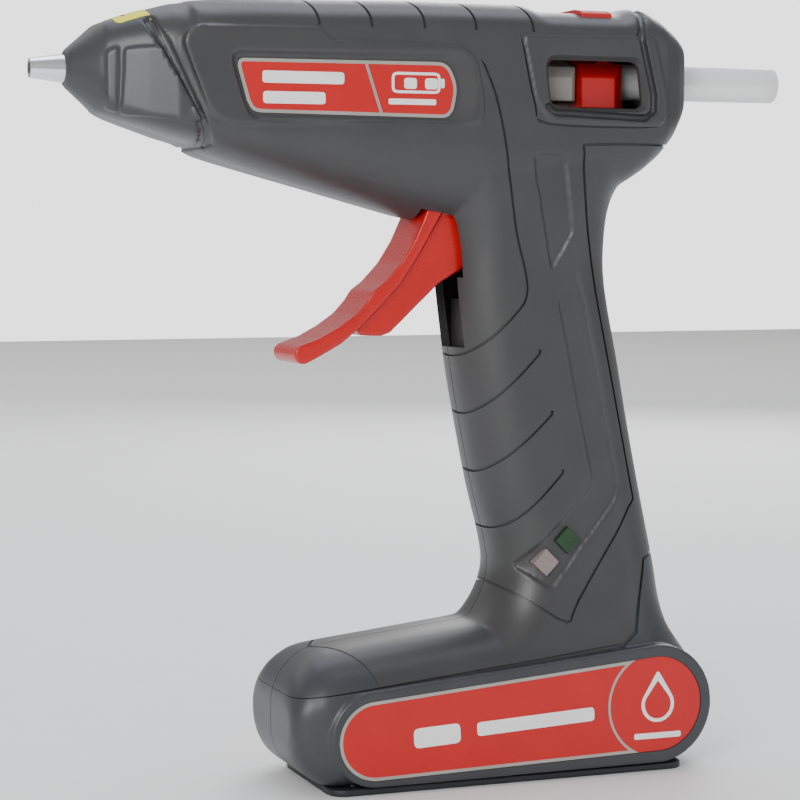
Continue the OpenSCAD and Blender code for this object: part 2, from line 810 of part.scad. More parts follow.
module melt_chamber() {
    color("#b4b7ba") difference() {
        union() {
            along_x(chamber_front) cylinder(h = chamber_len, r = chamber_r);
            translate([pocket_x, -9, axis_z - chamber_r - heater_h - 1.6])
                cube([heater_len, 18, chamber_r + heater_h - 3]);
        }
        translate([pocket_x - 1, -6.5, axis_z - chamber_r - heater_h + 0.4])
            cube([heater_len + 2, 13, heater_h]);
        along_x(stick_tip - travel - 8) cylinder(h = 80, r = path_r);
        // Melt funnel down to the outlet thread
        along_x(chamber_front + 8) cylinder(h = stick_tip - travel - 8 - chamber_front - 7.9, r1 = 3, r2 = path_r);
        along_x(chamber_front - 1) cylinder(h = 10, r = shank_r + 0.03);
    }
}

module heater() {
    color("#d9d4c8") translate([pocket_x, -6.4, axis_z - chamber_r - heater_h + 0.45])
        cube([heater_len, 12.8, heater_h - 0.1]);
}

// Spring clip that presses the heater pocket shut
module heater_clip() {
    low_z = axis_z - chamber_r - heater_h - 1.6;
    color("#9a9da0") translate([pocket_x + 9, 0, low_z]) difference() {
        translate([0, -9.8, -0.75]) cube([12, 19.6, 7]);
        translate([-1, -9.05, -0.02]) cube([14, 18.1, 10]);
    }
}

module thermal_cutout() {
    color("#c9b48a") translate([chamber_front + 36, -3.5, axis_z + chamber_r + 0.03]) cube([9, 7, 3]);
}

module support_ring(x) {
    color("#b5713f") tube_x(x, ring_t, ring_out, chamber_r + 0.04);
}
module front_ring() { support_ring(front_ring_x - ring_t / 2); }
module rear_ring() { support_ring(rear_ring_x - ring_t / 2); }

module inlet_sleeve() {
    color("#c8503c") tube_x(chamber_rear, inlet_len, chamber_r + 1, path_r);
}

// Outlet: slim tip, hexagon to turn it by, shank in the chamber
module nozzle() {
    lip = nose_x + 0.01;
    color("#c3c6c9") difference() {
        union() {
            along_x(tip_x) cylinder(h = lip - tip_x, r1 = tip_d / 2, r2 = nozzle_r_at_lip());
            along_x(lip) cylinder(h = 12, r = nozzle_r_at_lip());
            along_x(lip + 11) cylinder(h = 6, r = 6.6, $fn = 6);
            along_x(lip + 16) cylinder(h = chamber_front - lip - 9, r = shank_r);
        }
        along_x(tip_x - 1) cylinder(h = 60, r = outlet_d / 2);
        along_x(ball_chamber_x) cylinder(h = 60, r = ball_d / 2 + 0.35);
    }
}

module valve_seat() {
    color("#c8a951") tube_x(seat_x, seat_t, ball_d / 2 + 0.34, seat_hole);
}

module check_ball() {
    color("#d0d3d6") translate([ball_x, 0, axis_z]) sphere(r = ball_d / 2);
}

module check_spring() {
    wire = 0.35;
    start = ball_chamber_x + wire / 2 + 0.05;
    mean = 1.7;
    stop = ball_x - sqrt(pow(ball_d / 2, 2) - pow(mean - wire, 2)) - wire;
    color("#b9bcc0") coil_x(start, stop - start, mean + 0.25, wire, 4);
}

// ---- power ----

module cell(side) {
    color("#3f7fae") translate([cell_x, side * cell_y, cell_z]) rotate([0, 90, 0]) union() {
        cylinder(h = cell_len, r = cell_d / 2);
        translate([0, 0, cell_len]) cylinder(h = 0.8, r = 3);
    }
}
module left_cell() { cell(-1); }
module right_cell() { cell(1); }

// Cradle under the cells
module cell_holder() {
    seat = 0.05;
    color("#2f3134") difference() {
        translate([cell_x, -cell_y - cell_d / 2 + 2, plate_t + 0.05])
            cube([cell_len, 2 * cell_y + cell_d - 4, cell_z - plate_t - 3]);
        for (side = [-1, 1]) translate([cell_x - 1, side * cell_y, cell_z]) rotate([0, 90, 0])
            cylinder(h = cell_len + 2, r = cell_d / 2 + seat);
    }
}

module cell_straps() {
    color("#d8d9d6") for (x = [cell_x - 0.35, cell_x + cell_len + 0.85])
        translate([x, -cell_y - 3, cell_z - 3]) cube([0.3, 2 * cell_y + 6, 6]);
}

module control_board() {
    color("#2c6b3a") translate([board_x, -0.8, board_z]) cube([22, 1.6, 38]);
    color("#2b2b2b") translate([board_x + 4, -3.2, board_z + 6]) cube([9, 2.4, 9]);
    color("#2b2b2b") translate([board_x + 6, -6.8, board_z + 24]) cube([10, 6, 6]);
}

module charging_socket() {
    color("#1f2022") translate([foot_rear - socket_len, 0, socket_z]) rotate([0, 90, 0])
        difference() {
            cylinder(h = socket_len - 0.3, r = socket_r());
            translate([0, 0, 1.5]) cylinder(h = socket_len, r = socket_d / 2);
        }
}

module battery_leads() {
    color("#b03030") for (side = [-1, 1])
        lead([[cell_x + cell_len + 4, cell_z], [cell_x + cell_len + 7, cell_z + 8], [38, 34],
            [35, 48], [31, tall(62)], [27, tall(76)], [25, tall(88)], [25, board_z - 0.5]],
            lead_r, side * lead_y);
}

module heater_leads() {
    color("#c8c8c2") for (side = [-1, 1]) lead(heater_lead_path, lead_r, side * heater_lead_y);
}

// ---- fasteners ----

module housing_screws() {
    color("#8d9094") for (at = seam_screws) {
        across(at[0], at[1], seam_screw_y()) cylinder(h = seam_screw_len, r = seam_screw_r, center = true);
        across(at[0], at[1], seam_screw_y() + seam_screw_len / 2 + seam_head_t / 2)
            cylinder(h = seam_head_t, r = seam_head_r, center = true);
    }
}

module foot_screws() {
    head_t = 0.9;
    color("#8d9094") for (at = plate_screws) translate([at[0], at[1], 0.05]) {
        cylinder(h = head_t, r = seam_head_r);
        cylinder(h = plate_screw_len, r = seam_screw_r);
    }
}

left_housing();
right_housing();
nose_shroud();
nose_label();
left_barrel_label();
right_barrel_label();
stick_guide();
power_button();
button_spring();
button_switch();
left_foot_shell();
right_foot_shell();
left_foot_label();
right_foot_label();
base_plate();
green_lens();
red_lens();
status_board();
trigger();
trigger_pin();
feed_carriage();
clamp_sleeve();
stick_clamp();
clamp_pin();
return_spring();
glue_stick();
inlet_sleeve();
melt_chamber();
front_ring();
rear_ring();
heater();
heater_clip();
thermal_cutout();
nozzle();
valve_seat();
check_ball();
check_spring();
left_cell();
right_cell();
cell_holder();
cell_straps();
control_board();
charging_socket();
battery_leads();
heater_leads();
housing_screws();
foot_screws();
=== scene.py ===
import math
import bpy
import bmesh
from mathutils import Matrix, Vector


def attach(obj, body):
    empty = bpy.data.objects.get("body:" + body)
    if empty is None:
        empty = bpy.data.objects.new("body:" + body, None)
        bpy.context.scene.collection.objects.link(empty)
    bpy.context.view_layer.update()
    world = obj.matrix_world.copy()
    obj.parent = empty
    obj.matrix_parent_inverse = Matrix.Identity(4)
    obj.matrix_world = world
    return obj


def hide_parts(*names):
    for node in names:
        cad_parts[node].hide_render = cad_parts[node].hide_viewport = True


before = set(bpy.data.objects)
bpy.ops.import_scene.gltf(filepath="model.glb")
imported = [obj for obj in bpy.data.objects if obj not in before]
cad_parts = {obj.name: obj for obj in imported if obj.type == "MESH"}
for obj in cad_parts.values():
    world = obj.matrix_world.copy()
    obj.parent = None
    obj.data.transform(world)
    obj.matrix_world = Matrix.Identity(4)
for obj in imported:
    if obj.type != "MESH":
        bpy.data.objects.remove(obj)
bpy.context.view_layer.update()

# Everything is modelled in millimetres and brought to metres at the end.
# The nozzle points to -X, the left side faces -Y, and the foot stands on Z = 0.
metre = 1000
stickAxis = 215


# ---- small tools ----

def pick(*pieces):
    bpy.ops.object.select_all(action="DESELECT")
    for piece in pieces:
        piece.select_set(True)
    bpy.context.view_layer.objects.active = pieces[0]


def modify(piece, kind, **settings):
    pick(piece)
    bpy.ops.object.modifier_add(type=kind)
    modifier = piece.modifiers[-1]
    for key, value in settings.items():
        setattr(modifier, key, value)
    bpy.ops.object.modifier_apply(modifier=modifier.name)
    return piece


def copyOf(piece, name):
    twin = piece.copy()
    twin.data = piece.data.copy()
    twin.name = name
    bpy.context.scene.collection.objects.link(twin)
    return twin


# A Boolean cut, or a union or intersection; the tool is used up unless it is kept
def carve(piece, tool, how="DIFFERENCE", keep=False):
    modify(piece, "BOOLEAN", operation=how, solver="MANIFOLD", object=tool)
    if not keep:
        bpy.data.objects.remove(tool)
    return piece


def unite(pieces):
    first = pieces[0]
    for other in pieces[1:]:
        carve(first, other, "UNION")
    return first


def softened(piece, voxel, rounds, factor=0.5):
    modify(piece, "REMESH", mode="VOXEL", voxel_size=voxel)
    return modify(piece, "SMOOTH", factor=factor, iterations=rounds)


# A cylinder is cut into one ring per section, and each ring is then moved onto its section
def loft(name, rings):
    around = len(rings[0])
    last = len(rings) - 1
    bpy.ops.object.select_all(action="DESELECT")
    bpy.ops.mesh.primitive_cylinder_add(vertices=around, radius=1, depth=last, end_fill_type="NGON")
    piece = bpy.context.object
    piece.name = name
    if last > 1:
        bpy.ops.object.mode_set(mode="EDIT")
        bpy.ops.mesh.select_mode(type="EDGE")
        bpy.ops.mesh.select_all(action="DESELECT")
        mesh = bmesh.from_edit_mesh(piece.data)
        for edge in mesh.edges:
            edge.select = abs(edge.verts[0].co.z - edge.verts[1].co.z) > last / 2
        bmesh.update_edit_mesh(piece.data)
        bpy.ops.mesh.subdivide(number_cuts=last - 1)
        bpy.ops.object.mode_set(mode="OBJECT")
    for vertex in piece.data.vertices:
        level = round(vertex.co.z + last / 2)
        place = round(math.atan2(vertex.co.y, vertex.co.x) / (2 * math.pi) * around) % around
        vertex.co = rings[level][place]
    pick(piece)
    bpy.ops.object.mode_set(mode="EDIT")
    bpy.ops.mesh.select_all(action="SELECT")
    bpy.ops.mesh.normals_make_consistent(inside=False)
    bpy.ops.object.mode_set(mode="OBJECT")
    return piece


def at(axis, level, point):
    if axis == "X":
        return (level, point[0], point[1])
    if axis == "Y":
        return (point[0], level, point[1])
    return (point[0], point[1], level)


# Moves a closed outline outwards by a distance
def grown(outline, distance):
    count = len(outline)
    area = sum(outline[i - 1][0] * outline[i][1] - outline[i][0] * outline[i - 1][1] for i in range(count))
    turn = 1 if area > 0 else -1
    result = []
    for i in range(count):
        before, here, after = (Vector(outline[k % count]) for k in (i - 1, i, i + 1))
        sides = [(here - before).normalized(), (after - here).normalized()]
        normals = [Vector((side.y, -side.x)) * turn for side in sides]
        middle = (normals[0] + normals[1]).normalized()
        result.append(tuple(here + middle * distance / max(middle.dot(normals[0]), 0.4)))
    return result


# Rounds the corners of a closed outline with short curves
def rounded(outline, radius, steps=5):
    count = len(outline)
    result = []
    for i in range(count):
        before, here, after = (Vector(outline[k % count]) for k in (i - 1, i, i + 1))
        reach = min(radius, (before - here).length * 0.48, (after - here).length * 0.48)
        start = here + (before - here).normalized() * reach
        end = here + (after - here).normalized() * reach
        for k in range(steps + 1):
            t = k / steps
            result.append(tuple(start * (1 - t) ** 2 + here * 2 * t * (1 - t) + end * t * t))
    return result


# A smooth open line through the given points
def smoothed(path, steps=6):
    points = [Vector(point) for point in path]
    ends = [points[0] * 2 - points[1]] + points + [points[-1] * 2 - points[-2]]
    result = []
    for i in range(1, len(ends) - 2):
        a, b, c, d = ends[i - 1:i + 3]
        for k in range(steps):
            t = k / steps
            result.append((b * 2 + (c - a) * t + (a * 2 - b * 5 + c * 4 - d) * t * t
                + (b * 3 - a - c * 3 + d) * t ** 3) / 2)
    return result + [points[-1]]


# A line given a width
def ribbon(path, width):
    points = [Vector(point) for point in path]
    left, right = [], []
    for i, here in enumerate(points):
        before = points[max(i - 1, 0)]
        after = points[min(i + 1, len(points) - 1)]
        run = (after - before).normalized()
        side = Vector((-run.y, run.x)) * width / 2
        left.append(tuple(here + side))
        right.append(tuple(here - side))
    return left + right[::-1]


# An outline pushed out along an axis, with its far end grown by the draft
def prism(name, outline, start, end, axis="Y", draft=0):
    far = grown(outline, draft) if draft else outline
    return loft(name, [[at(axis, start, point) for point in outline], [at(axis, end, point) for point in far]])


# The same prism on the left and on the right side, from inner to outer distance
def pair(name, outline, inner, outer, draft=0):
    return unite([prism(name, outline, side * inner, side * outer, draft=draft) for side in (-1, 1)])


def circle(x, y, radius, steps=48, start=0, turn=360):
    count = steps if turn == 360 else steps + 1
    angles = [math.radians(start + turn * k / steps) for k in range(count)]
    return [(x + radius * math.cos(angle), y + radius * math.sin(angle)) for angle in angles]


# The outline round two circles of different size, front one first
def stadium(ends, grow=0, steps=28):
    (x1, z1, r1), (x2, z2, r2) = ends
    lean = math.degrees(math.atan2(z2 - z1, x2 - x1))
    open_ = math.degrees(math.acos((r1 - r2) / math.hypot(x2 - x1, z2 - z1)))
    front = circle(x1, z1, r1 + grow, steps, lean + open_, 360 - 2 * open_)
    rear = circle(x2, z2, r2 + grow, steps, lean - open_, 2 * open_)
    return front + rear


# A profile of (x, radius) turned round the stick's axis
def turned(name, profile, steps=72):
    rings = []
    for x, radius in profile:
        rings.append([(x, radius * math.cos(2 * math.pi * k / steps), stickAxis + radius * math.sin(2 * math.pi * k / steps))
            for k in range(steps)])
    return loft(name, rings)


def finished(piece, body, nodes, material, angle=35):
    for vertex in piece.data.vertices:
        vertex.co = vertex.co / metre
    pick(piece)
    bpy.ops.object.shade_smooth_by_angle(angle=math.radians(angle))
    piece.data.materials.clear()
    piece.data.materials.append(material)
    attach(piece, body)
    if nodes:
        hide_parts(*nodes)
    return piece


# ---- materials ----

def colour(code):
    parts = [int(code[i:i + 2], 16) / 255 for i in (1, 3, 5)]
    return tuple(c / 12.92 if c < 0.04045 else ((c + 0.055) / 1.055) ** 2.4 for c in parts) + (1,)


def addNode(tree, kind, settings=None, links=None):
    node = tree.nodes.new(kind)
    for key, value in (settings or {}).items():
        if key in node.inputs:
            node.inputs[key].default_value = value
        else:
            setattr(node, key, value)
    for key, source in (links or {}).items():
        tree.links.new(source, node.inputs[key])
    return node


def newMaterial(name, **shader):
    material = bpy.data.materials.new(name)
    material.use_nodes = True
    tree = material.node_tree
    surface = tree.nodes["Principled BSDF"]
    for key, value in shader.items():
        surface.inputs[key.replace("_", " ")].default_value = value
    place = addNode(tree, "ShaderNodeTexCoord").outputs["Object"]
    return material, tree, surface, place


# Noise cells per metre for a pattern of a given size in millimetres
def cells(size):
    return metre / size


# Moulded plastic: the mould's spark-eroded grain gives a fine satin bump, and the melt leaves
# faint clouds in the colour and in the gloss
def mouldedPlastic(name, base, cloud, grain, bump, roughness, spread=0.06, **shader):
    material, tree, surface, place = newMaterial(name, Roughness=roughness, **shader)
    clouds = addNode(tree, "ShaderNodeTexNoise", {"Scale": cells(14), "Detail": 4}, {"Vector": place})
    fine = addNode(tree, "ShaderNodeTexNoise", {"Scale": cells(grain), "Detail": 3}, {"Vector": place})
    ramp = addNode(tree, "ShaderNodeValToRGB", {}, {"Fac": clouds.outputs["Fac"]})
    ramp.color_ramp.elements[0].position = 0.35
    ramp.color_ramp.elements[0].color = colour(base)
    ramp.color_ramp.elements[1].position = 0.7
    ramp.color_ramp.elements[1].color = colour(cloud)
    gloss = addNode(tree, "ShaderNodeMapRange", {"From Min": 0.3, "From Max": 0.7,
        "To Min": roughness - spread, "To Max": roughness + spread}, {"Value": fine.outputs["Fac"]})
    relief = addNode(tree, "ShaderNodeBump", {"Strength": bump, "Distance": 0.05 / metre},
        {"Height": fine.outputs["Fac"]})
    tree.links.new(ramp.outputs["Color"], surface.inputs["Base Color"])
    tree.links.new(gloss.outputs["Result"], surface.inputs["Roughness"])
    tree.links.new(relief.outputs["Normal"], surface.inputs["Normal"])
    return material


# Metal with fine lines left by a tool; stretch sets the way the lines run
def machinedMetal(name, base, line, roughness, stretch, bump=0.3):
    material, tree, surface, place = newMaterial(name, Metallic=1, Roughness=roughness)
    surface.inputs["Base Color"].default_value = colour(base)
    mapping = addNode(tree, "ShaderNodeMapping", {"Scale": stretch}, {"Vector": place})
    lines = addNode(tree, "ShaderNodeTexNoise", {"Scale": cells(line), "Detail": 4},
        {"Vector": mapping.outputs["Vector"]})
    gloss = addNode(tree, "ShaderNodeMapRange", {"From Min": 0.3, "From Max": 0.7,
        "To Min": roughness * 0.7, "To Max": roughness * 1.4}, {"Value": lines.outputs["Fac"]})
    relief = addNode(tree, "ShaderNodeBump", {"Strength": bump, "Distance": 0.02 / metre},
        {"Height": lines.outputs["Fac"]})
    tree.links.new(gloss.outputs["Result"], surface.inputs["Roughness"])
    tree.links.new(relief.outputs["Normal"], surface.inputs["Normal"])
    return material


# Grain sizes are a little coarser than the real 0.1 mm, so that they show
housingAbs = mouldedPlastic("moulded ABS, dark grey", "#39393a", "#3d3d3d", 0.35, 0.35, 0.4)
noseNylon = mouldedPlastic("moulded nylon, dark grey", "#37383a", "#3b3c3e", 0.35, 0.3, 0.38)
footAbs = mouldedPlastic("moulded ABS, blue grey", "#35383b", "#393c3f", 0.35, 0.35, 0.4)
plateAbs = mouldedPlastic("moulded ABS, near black", "#222325", "#27282a", 0.4, 0.4, 0.5)
blackNylon = mouldedPlastic("moulded nylon, black", "#1d1e20", "#242527", 0.4, 0.3, 0.5)
redAbs = mouldedPlastic("moulded ABS, red", "#b8100e", "#c01412", 0.5, 0.12, 0.3)
sleeveNylon = mouldedPlastic("moulded nylon, grey", "#96918d", "#a09b97", 0.5, 0.2, 0.4)
# Screen print on polyester film: even colour under a smooth satin face
labelFilm = mouldedPlastic("printed polyester film, red", "#be0f0f", "#c41313", 1.2, 0.05, 0.42, 0.03)
yellowFilm = mouldedPlastic("printed polyester film, yellow", "#e6dc00", "#ece205", 1.2, 0.05, 0.4, 0.03)
silverInk = mouldedPlastic("screen ink, silver", "#a5a19a", "#b0aca5", 0.6, 0.05, 0.38, 0.05, Metallic=0.35)
whiteInk = mouldedPlastic("screen ink, white", "#f2f0ee", "#f8f7f5", 0.8, 0.05, 0.45, 0.03)
blackInk = mouldedPlastic("screen ink, black", "#1a1a18", "#222220", 0.8, 0.05, 0.45, 0.03)
phenolic = mouldedPlastic("phenolic resin, brown", "#8a5230", "#965c38", 0.6, 0.3, 0.6)
silicone = mouldedPlastic("silicone rubber, red brown", "#a8442f", "#b04c36", 0.6, 0.2, 0.62)
steatite = mouldedPlastic("steatite ceramic", "#d5cfc2", "#dcd7cb", 0.5, 0.4, 0.7)
boardResin = mouldedPlastic("fibreglass board, green", "#215a31", "#2a6639", 0.8, 0.2, 0.45)
cellWrap = mouldedPlastic("shrink film, blue", "#2c6c9c", "#3375a6", 1.0, 0.1, 0.35)
wireVinyl = mouldedPlastic("vinyl insulation, red", "#a12626", "#aa2e2e", 0.6, 0.15, 0.5)
castAluminium = machinedMetal("cast aluminium", "#b2b4b6", 0.6, 0.45, (1, 1, 1), 0.6)
# Turned on a lathe: rings run round the stick's axis, so the noise is squeezed along X
turnedAluminium = machinedMetal("turned aluminium", "#f1f2f4", 0.25, 0.2, (1, 0.03, 0.03))
zincSteel = machinedMetal("zinc-plated steel", "#c2c5c9", 0.5, 0.26, (0.15, 1, 1))
turnedBrass = machinedMetal("turned brass", "#c6a24c", 0.3, 0.25, (1, 0.05, 0.05))


# Hot-melt glue: milky copolymer with a waxy skin, lit from inside
def meltGlue():
    material, tree, surface, place = newMaterial("hot-melt glue, milky", Roughness=0.3, IOR=1.48,
        Transmission_Weight=0.2, Subsurface_Weight=0.35, Subsurface_Scale=0.004)
    surface.inputs["Subsurface Radius"].default_value = (1, 0.98, 0.95)
    wisps = addNode(tree, "ShaderNodeMapping", {"Scale": (0.12, 1, 1)}, {"Vector": place})
    noise = addNode(tree, "ShaderNodeTexNoise", {"Scale": cells(3), "Detail": 4}, {"Vector": wisps.outputs["Vector"]})
    ramp = addNode(tree, "ShaderNodeValToRGB", {}, {"Fac": noise.outputs["Fac"]})
    ramp.color_ramp.elements[0].position = 0.3
    ramp.color_ramp.elements[0].color = colour("#f4f4f4")
    ramp.color_ramp.elements[1].position = 0.7
    ramp.color_ramp.elements[1].color = colour("#fafafa")
    relief = addNode(tree, "ShaderNodeBump", {"Strength": 0.15, "Distance": 0.1 / metre},
        {"Height": noise.outputs["Fac"]})
    tree.links.new(ramp.outputs["Color"], surface.inputs["Base Color"])
    tree.links.new(relief.outputs["Normal"], surface.inputs["Normal"])
    return material


# Tinted acrylic: clear, with a faint frosting from its moulded inner face
def tintedAcrylic(name, base, cloud):
    material = mouldedPlastic(name, base, cloud, 0.6, 0.25, 0.2, 0.08)
    surface = material.node_tree.nodes["Principled BSDF"]
    surface.inputs["Transmission Weight"].default_value = 0.45
    surface.inputs["IOR"].default_value = 1.49
    return material


glueEva = meltGlue()
greenAcrylic = tintedAcrylic("tinted acrylic, green", "#16381a", "#2b5a30")
redAcrylic = tintedAcrylic("tinted acrylic, pale red", "#9c8a88", "#b8a8a4")
print("materials ready")


# ---- the gun's outer form ----

# Sections across X: x, bottom, top, half width, low corner y and z, top corner y and z
barrelSections = [
    (-98, 196, 234.8, 21.6, 14, 7, 14, 9.5),
    (-95, 192, 235.1, 22.4, 15, 8, 15, 9),
    (-91, 190, 235.4, 22.6, 15, 9, 15, 9),
    (-86, 188.4, 235.8, 22.8, 16, 10, 15, 9),
    (-73, 184.6, 236.2, 22.8, 18, 14, 15, 9),
    (-60, 181, 236.3, 22.8, 19, 18, 15, 9),
    (-30, 172.6, 237, 22.8, 21, 25, 15, 9),
    (-14, 169.6, 237, 22.8, 21, 27, 15, 9),
    (6, 169, 237, 22.8, 20, 27, 15, 9),
    (8, 170, 236.6, 22.8, 19, 25, 15, 9),
    (11.5, 174, 235, 22.8, 18, 22, 14, 7.5),
    (37.5, 180.5, 235, 22.8, 15, 17, 14, 7.5),
    (42, 183, 237, 22.8, 14, 14, 15, 10),
    (47, 186.4, 236.9, 22.8, 13, 12, 15, 10),
    (52, 190.2, 234.4, 22, 13, 11, 15, 9),
    (57, 195.4, 231, 19.4, 11, 10, 12, 8),
    (60.4, 201.5, 228, 16.6, 8, 7, 9, 6),
    (61, 203, 227, 15.4, 7, 6, 8, 5)]

# The nose from its lip to behind the slanted seam; the cone is round, then the sides flatten
noseSections = [
    (-132.4, 210.2, 219.8, 4.8, 4.8, 4.8, 4.8, 4.8),
    (-132, 209.6, 220.4, 5.4, 5.4, 5.4, 5.4, 5.4),
    (-131, 208.8, 221.2, 6.2, 6.2, 6.2, 6.2, 6.2),
    (-127, 205.4, 224.6, 9.6, 9.2, 9.2, 9.2, 9.2),
    (-123.4, 202.3, 227.7, 12.5, 11, 11, 11, 11),
    (-122.2, 201.8, 228.2, 13, 9, 5, 9, 9),
    (-118, 200.2, 229.6, 14.4, 9, 4, 9.5, 9),
    (-111, 198, 231.7, 17.4, 11, 4, 11, 10),
    (-103, 195.4, 233.8, 20.4, 13, 5, 13, 12),
    (-92, 192.5, 235, 22.4, 14, 6, 14, 13)]

# Sections across Z: z, front, rear, half width, corner across, corner along
gripSections = [
    (34, -24, 65.5, 25, 18, 18),
    (38, -17, 63, 24, 18, 18),
    (44, -9.6, 59.6, 22.2, 18, 18),
    (52, -3, 57.4, 20.4, 17.5, 17.5),
    (62, 0.8, 56, 19.2, 17, 17),
    (72, 0, 54, 18.6, 16.5, 17),
    (90, -4.6, 50.2, 18.4, 16.5, 17),
    (111, -8.8, 46, 18.4, 16.5, 17),
    (127, -11.6, 43, 18.6, 16.5, 17),
    (150, -14.4, 38.3, 19, 16.5, 17),
    (164, -15, 37.4, 19.8, 16.5, 17),
    (178, -18, 39.4, 21, 17, 17),
    (192, -24, 48, 21.6, 17, 17)]

footSections = [
    (-70, 16, 26.6, 19, 5, 5, 9, 5),
    (-69, 12, 31, 21.5, 7, 7, 11, 8),
    (-66.4, 7.6, 35.6, 23.6, 8, 8, 14, 12),
    (-62.4, 4.2, 39.4, 25, 9, 8, 18, 15),
    (-57, 2.1, 41.8, 26, 9, 8, 21, 16),
    (-40, 2, 44, 26, 9, 8, 22, 17),
    (-10, 2, 47.4, 26, 9, 8, 22, 18),
    (12, 2, 49.6, 26, 9, 8, 22, 18),
    (52, 2, 44.6, 26, 9, 8, 20, 14),
    (60, 3.4, 38, 25.8, 9, 8, 16, 11),
    (64.5, 7, 31, 24.6, 8, 8, 12, 8),
    (66.4, 11, 26, 22, 6, 6, 8, 6)]


# One closed section of four elliptical corners; returns (across, up) points
def sectionRing(low, high, half, lowY, lowZ, topY, topZ, grow, steps=11):
    points = []
    for ySign, zSign, ry, rz in ((1, 1, topY, topZ), (-1, 1, topY, topZ), (-1, -1, lowY, lowZ), (1, -1, lowY, lowZ)):
        ry, rz = max(ry + grow, 0.8), max(rz + grow, 0.8)
        for k in range(steps):
            t = k / (steps - 1) if ySign == zSign else 1 - k / (steps - 1)
            y = half + grow - ry + ry * math.cos(t * math.pi / 2)
            z = (high + grow if zSign > 0 else -low + grow) - rz + rz * math.sin(t * math.pi / 2)
            points.append((ySign * y, zSign * z))
    return points


def along(sections, steps=4):
    return [tuple(section) for section in smoothed(sections, steps)] if steps > 1 else sections


def xForm(name, sections, grow=0, floor=0):
    rings = []
    for i, (x, low, high, half, lowY, lowZ, topY, topZ) in enumerate(sections):
        x += -grow if i == 0 else grow if i == len(sections) - 1 else 0
        ring = sectionRing(low + floor, high, half, lowY, lowZ, topY, topZ, grow)
        rings.append([at("X", x, point) for point in ring])
    return loft(name, rings)


def zForm(name, sections, grow=0):
    rings = []
    for z, front, rear, half, across, length in sections:
        ring = sectionRing(front, rear, half, across, length, across, length, grow)
        rings.append([(x, y, z) for y, x in ring])
    return loft(name, rings)


def gunForm(name, grow=0, floor=0):
    barrel = xForm(name, barrelSections, grow)
    nose = xForm("nose form", noseSections, grow)
    grip = zForm("grip form", along(gripSections, 3), grow)
    foot = xForm("foot form", along(footSections, 2), grow, floor)
    return unite([barrel, nose, grip, foot])


shell = {"wall": 2.4, "side": 23.5, "grooveDepth": 0.8, "seam": 0.35, "formVoxel": 0.85, "skinVoxel": 0.55}

skin = softened(gunForm("skin"), shell["formVoxel"], 8)
core = gunForm("groove core", -shell["grooveDepth"])
print("outer form ready", len(skin.data.polygons))

# Raised side panel of the barrel, with the long label's recess in it
panel = {
    "outline": [(-104, 223), (-99.5, 228.2), (-60.5, 228.2), (-57.5, 224.6), (-16, 224), (-10.8, 219.5),
        (-8.4, 206), (-9.4, 199), (-90, 197.8), (-96, 202)],
    "recess": [(-89, 220.2), (-82.6, 199.6), (-11.4, 199.8), (-10.6, 211), (-11.2, 221.2)],
    "floor": [(-88, 219), (-83.2, 201.2), (-19.2, 200.8), (-16.9, 211), (-20.6, 219.2)],
    "depth": 1.6}


def panelTool():
    return pair("side panel", rounded(grown(panel["outline"], -0.7), 5), 12, shell["side"], draft=-0.7)


def recessTool():
    floor = rounded(panel["floor"], 4)
    top = rounded(grown(panel["recess"], 0.4), 4.6)
    tools = []
    for side in (-1, 1):
        low, high = side * (shell["side"] - panel["depth"]), side * (shell["side"] + 0.4)
        tools.append(loft("label recess", [[at("Y", low, point) for point in floor], [at("Y", high, point) for point in top]]))
    return unite(tools)


# Window with stepped rims, a groove round it, and a collar groove that runs over the tail
window = {
    "opening": [(11.2, 219.8), (12.7, 205.4), (43.4, 205.4), (41.6, 219.8)],
    "collar": [(41.9, 229), (46.5, 210), (46.5, 204.8), (43.8, 202.6), (13.4, 203.9), (10.6, 206.4)],
    "frontLine": [(10.6, 206.4), (9.4, 209), (6.8, 227.6)],
    "block": [(2.2, 227.8), (7, 206), (11.6, 200.4), (49.6, 199.6), (52.4, 203), (52, 210), (47.6, 228)]}

# Foot pads that carry the long labels: x, z and radius of the round ends
pad = {"ends": [(-45, 17.2, 14.6), (47.6, 21.4, 18.6)], "label": [(-45, 16.7, 12), (47.6, 21.5, 14.8)],
    "out": 27, "labelDepth": 0.9}

# Lines on the grip's sides
grip = {
    "blade": [(6.6, 191.2), (16.9, 191.5), (18.2, 189), (21.2, 167.5), (14.2, 155.5)],
    "strip": [(22.8, 156.5), (16.5, 146.5), (28.6, 92), (27.6, 88.4), (4, 65.2), (14.9, 57.5), (37, 85),
        (38.3, 90.5), (26.2, 147)],
    "rearPanel": [(60, 194.6), (26.5, 194.4), (23.7, 191.5), (25.2, 174.5), (29.8, 151.6), (43, 90.2),
        (41.7, 82.1), (23.4, 54.2), (19, 47.9), (8.9, 53.8), (-1.8, 60.2), (-8.8, 64.9)],
    "front": [(-10.4, 219.5), (-5.5, 207.5), (-1.5, 189), (2, 168.5), (5.7, 155), (6, 148.2), (2.8, 143.2),
        (-8.5, 132.2), (-20, 126)],
    "slants": [[(10.4, 132), (9.4, 129.4), (-9, 112), (-20, 108.4)],
        [(14.5, 113), (13.8, 110.8), (-6, 93.5), (-16, 90.4)],
        [(18.3, 95), (17.6, 92.6), (2, 77.8), (-10, 73.6)]],
    "width": 0.75}

# Housing and foot shells part along these lines: side view, then plan view of the saddle's front
parting = {
    "side": [(-90, 28.4), (37.4, 40), (42, 43.6), (47.6, 66), (90, 72)],
    "plan": [(-58, 0), (-42.5, -28)]}

ribs = {"crest": [-64.8, -48.6, -32, -15.6, 3], "sweep": 4, "low": 227.8, "width": 0.8}

lights = {"green": (20.3, 73), "red": (13, 66.4), "side": 6, "face": 18.9}

